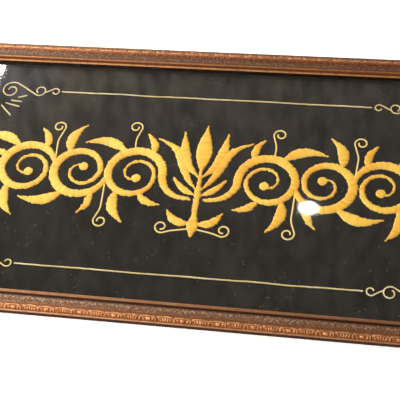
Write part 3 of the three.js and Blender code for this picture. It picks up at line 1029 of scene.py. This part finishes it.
# One corner: two scrolled ends, alike about the diagonal, and a fan of rays
def makeCorner(material, column, row, sideX, sideY):
    ends = [scrollLine([border["bigScroll"], border["middleCurl"]]),
            scrollLine([border["smallCurlRoot"], border["smallCurl"]])]
    last = len(border["rays"]) - 1
    rays, rayNodes = [], []
    for swap in (False, True):
        name = f"{column}_{row}" if swap else f"{row}_{column}"
        tubes = [cordTube(cornerLine(end, sideX, sideY, swap), k) for k, end in enumerate(ends)]
        piece = makePiece("cord_scroll_" + name, tubes, material, cordFields)
        settle(piece, "gold_cord", "border_scroll_" + name)
        for i, ray in enumerate(border["rays"]):
            if swap and i == last:
                continue
            path = cornerLine(straight(*ray, border["points"]["ray"]), sideX, sideY, swap)
            rays.append(cordTube(path, i + 2))
            rayNodes.append(f"ray_{row}_{column}_{2 * last + 1 - i if swap else i + 1}")
    piece = makePiece(f"rays_{row}_{column}", rays, material, cordFields)
    settle(piece, "gold_cord", *rayNodes)


def makeBorder():
    material = cordFinish()
    makeLines(material)
    for column, sideX in (("left", -1), ("right", 1)):
        for row, sideY in (("top", 1), ("bottom", -1)):
            makeCorner(material, column, row, sideX, sideY)


makeBorder()
print("cord border laid")


clothPanel = {
    "width": 579.0,
    "height": 289.0,
    "base": 4.1,
    "top": 5.3,
    "step": 4.0,
    "sink": 0.08,
    # ripple of the face: shift of X and Y, cell, height, seed
    "ripples": [((700, 300), 34.0, 0.07, 41), ((0, 0), 11.0, 0.03, 42)],
    "tones": {
        "deep": (12, 10, 9), "nap": (26, 22, 18), "cloud": (36, 31, 27), "lint": (128, 118, 102),
    },
    "gloss": {"Roughness": 0.95, "Sheen_Weight": 0.08, "Sheen_Roughness": 0.6, "Specular_IOR_Level": 0.15},
}


# Near black nap with soft clouds and a few specks of lint
def clothFinish():
    finish = Finish("darkNappedCloth")
    tones = clothPanel["tones"]
    where = finish.place()
    nap = finish.noise(where, 700.0, 4.0, 0.7)
    cloud = finish.noise(where, 24.0, 4.0, 0.6)
    lint = finish.node("TexVoronoi", "Distance", {"voronoi_dimensions": "2D", "distance": "EUCLIDEAN"},
                       Vector=where, Scale=170.0)
    keep = finish.noise(where, 90.0, 2.0, 0.5)
    colour = finish.blend(nap.step(0.3, 0.7), paint(*tones["deep"]), paint(*tones["nap"]))
    colour = finish.coat(cloud.step(0.4, 0.75) * 0.5, colour, tones["cloud"])
    dust = (1 - lint.step(0.05, 0.13)) * keep.step(0.56, 0.64)
    colour = finish.coat(dust * 0.6, colour, tones["lint"])
    return finish.feed(Base_Color=colour, Normal=finish.bump(nap, 0.0004, 0.8), **clothPanel["gloss"])


# Stretched cloth: a closed flat slab whose face rises and falls by the sum of the ripples.
# Each row of the grid is one ring: over the face and back under it.
def makeCloth():
    width, height = clothPanel["width"], clothPanel["height"]
    x = np.linspace(-0.5, 0.5, int(width / clothPanel["step"]) + 1) * width
    y = np.linspace(-0.5, 0.5, int(height / clothPanel["step"]) + 1) * height
    gridX, gridY = np.meshgrid(x, y)
    ripple = sum(lumps(gridX + shift[0], gridY + shift[1], cell, seed) * size
                 for shift, cell, size, seed in clothPanel["ripples"])
    face = np.stack([gridX, gridY, clothPanel["top"] - clothPanel["sink"] + ripple], -1)
    back = np.stack([gridX, gridY, np.full_like(gridX, clothPanel["base"])], -1)
    grid = np.concatenate([face, back[:, ::-1]], 1)
    piece = makePiece("cloth_panel", [{"grid": grid}], clothFinish())
    settle(piece, "ground_cloth", "ground_cloth")


makeCloth()
print("cloth stretched")


# A CAD solid that is shown as it is, in this material
def dressNode(name, material):
    materials = bpy.data.objects[name].data.materials
    materials.clear()
    materials.append(material)


glassPane = {
    "tint": (0.975, 0.985, 0.98, 1),
    "blur": 0.035,
    "mirrorAhead": 0.042,       # share of the light that each face mirrors, seen square on
    "mirrorAside": 0.9,         # and what is added to it along the face
    "power": 5.0,
}


# Glass: clear, with a mirror share of mirrorAhead plus mirrorAside times facing to the fifth
def glassFinish():
    finish = Finish("clearGlass")
    clear = finish.node("BsdfTransparent", Color=glassPane["tint"])
    shine = finish.node("BsdfGlossy", Color=(1, 1, 1, 1), Roughness=glassPane["blur"])
    facing = finish.node("LayerWeight", "Facing", Blend=0.5)
    share = facing ** glassPane["power"] * glassPane["mirrorAside"] + glassPane["mirrorAhead"]
    finish.surface(finish.node("MixShader", numbered={0: share, 1: clear, 2: shine}))
    return finish.material


boardTones = {"fibre": (104, 72, 46), "light": (146, 108, 74), "cloud": (88, 60, 40)}


# Brown fibres with soft darker clouds
def boardFinish():
    finish = Finish("brownHardboard")
    where = finish.place()
    fibre = finish.noise(finish.stretched(where, (1, 1.6, 1)), 260.0, 5.0, 0.7)
    cloud = finish.noise(where, 12.0, 3.0)
    colour = finish.blend(fibre.step(0.35, 0.68), paint(*boardTones["fibre"]), paint(*boardTones["light"]))
    colour = finish.coat(cloud.step(0.4, 0.7) * 0.3, colour, boardTones["cloud"])
    return finish.feed(Base_Color=colour, Roughness=fibre * 0.2 + 0.7, Normal=finish.bump(fibre, 0.0003))


dressNode("glass", glassFinish())
dressNode("back_board", boardFinish())
print("glass and board finished")


# Stage: a plain pale floor, and soft light
studio = {
    "floor": 6.0,
    "floorColour": (0.93, 0.93, 0.92),
    "floorGrain": 0.985,
    "floorGloss": {"Roughness": 0.9, "Emission_Color": (1, 1, 1, 1), "Emission_Strength": 0.45},
    "sky": (0.168, 0.142, 0.122),
    # direction, colour, and where the glow starts and is full as cosines of the angle away from it
    "glows": [
        ((-0.45, 0.72, 0.53), (0.72, 0.56, 0.45), 0.93, 1.0),
        ((-0.16, 0.925, 0.342), (0.58, 0.45, 0.35), 0.80, 0.95),
        ((-0.345, 0.607, 0.716), (0.08, 0.17, 0.36), 0.9984, 1.0),
    ],
    "streaks": {"scales": (90, 44, 20), "detail": 5.0, "rough": 0.62, "edge": (0.32, 0.68)},
    "strength": {"least": 0.3, "more": 1.25},
    # name, place, aim and size in metres, brightness in W per m2 per sr, colour and shape
    "lamps": [
        ("window", (-0.965, 1.01, 0.87), (0, 0, 0), (0.562, 0.562), 34, (1, 0.965, 0.89), "DISK"),
        ("overhead", (-0.75, -0.85, 1.7), (-0.1, 0, 0), (1.2, 1.0), 6.8, (1, 0.97, 0.91), "RECTANGLE"),
        ("leftSide", (-1.4, -0.6, 1.0), (-0.1, 0, 0), (0.9, 0.8), 10.0, (1, 0.97, 0.91), "RECTANGLE"),
        ("lampAbove", (0.0488, 0.9273, 1.5), (0.111, -0.025, 0.009), (0.058, 0.034), 30, (1, 0.97, 0.9),
         "ELLIPSE"),
    ],
}


# A flat square that glows a little of its own
def makeFloor():
    half = studio["floor"] / 2
    corners = [(-half, -half, 0), (half, -half, 0), (half, half, 0), (-half, half, 0)]
    mesh = bpy.data.meshes.new("floor")
    mesh.from_pydata(corners, [], [(0, 1, 2, 3)])
    floor = bpy.data.objects.new("floor", mesh)
    scene.collection.objects.link(floor)
    finish = Finish("paleFloor")
    grain = finish.noise(finish.place(), 3.0, 2.0)
    pale = studio["floorColour"]
    colour = finish.blend(grain, pale, tuple(studio["floorGrain"] * c for c in pale))
    mesh.materials.append(finish.feed(Base_Color=colour, **studio["floorGloss"]))


# A lamp panel aimed at a point. A round one has pi over 4 of the area of its sides.
def makePanel(name, place, aim, size, radiance, colour, shape):
    data = bpy.data.lights.new(name, "AREA")
    data.shape = shape
    data.size, data.size_y = size
    area = size[0] * size[1] * (1.0 if shape == "RECTANGLE" else math.pi / 4)
    data.energy = radiance * area * math.pi
    data.color = colour
    lamp = bpy.data.objects.new(name, data)
    scene.collection.objects.link(lamp)
    towards = Vector(aim) - Vector(place)
    turn = towards.to_track_quat("-Z", "Y").to_matrix().to_4x4()
    lamp.matrix_world = Matrix.Translation(place) @ turn


# The sky's colour plus each glow, which rises with the cosine of the angle to its direction
def skyColour(sky, way):
    colour = studio["sky"]
    for direction, tone, starts, full in studio["glows"]:
        towards = sky.node("VectorMath", "Value", {"operation": "DOT_PRODUCT"},
                           {0: way, 1: Vector(direction).normalized()})
        colour = sky.blend(towards.step(starts, full), colour, tone, "ADD")
    return colour


# Upright streaks: noise squeezed most along X and least along Z, eased between two edges
def skyStrength(sky, way):
    streaks, strength = studio["streaks"], studio["strength"]
    noise = sky.noise(sky.stretched(way, streaks["scales"]), 1.0, streaks["detail"], streaks["rough"])
    return noise.step(*streaks["edge"]) * strength["more"] + strength["least"]


# The room round the table: dim and streaked, with warm glows about the window. The camera sees
# plain white in its place.
def makeWorld():
    scene.world = bpy.data.worlds.new("studio")
    sky = NodeTree(scene.world, "World")
    way = sky.node("TexCoord", "Generated")
    room = sky.node("Background", Color=skyColour(sky, way), Strength=skyStrength(sky, way))
    plain = sky.node("Background", Color=(1, 1, 1, 1))
    seen = sky.node("LightPath", "Is Camera Ray")
    sky.surface(sky.node("MixShader", numbered={0: seen, 1: room, 2: plain}))


makeFloor()
makeWorld()
for lamp in studio["lamps"]:
    makePanel(*lamp)
scene.view_settings.view_transform = "Standard"
scene.view_settings.look = "None"
print("stage set")
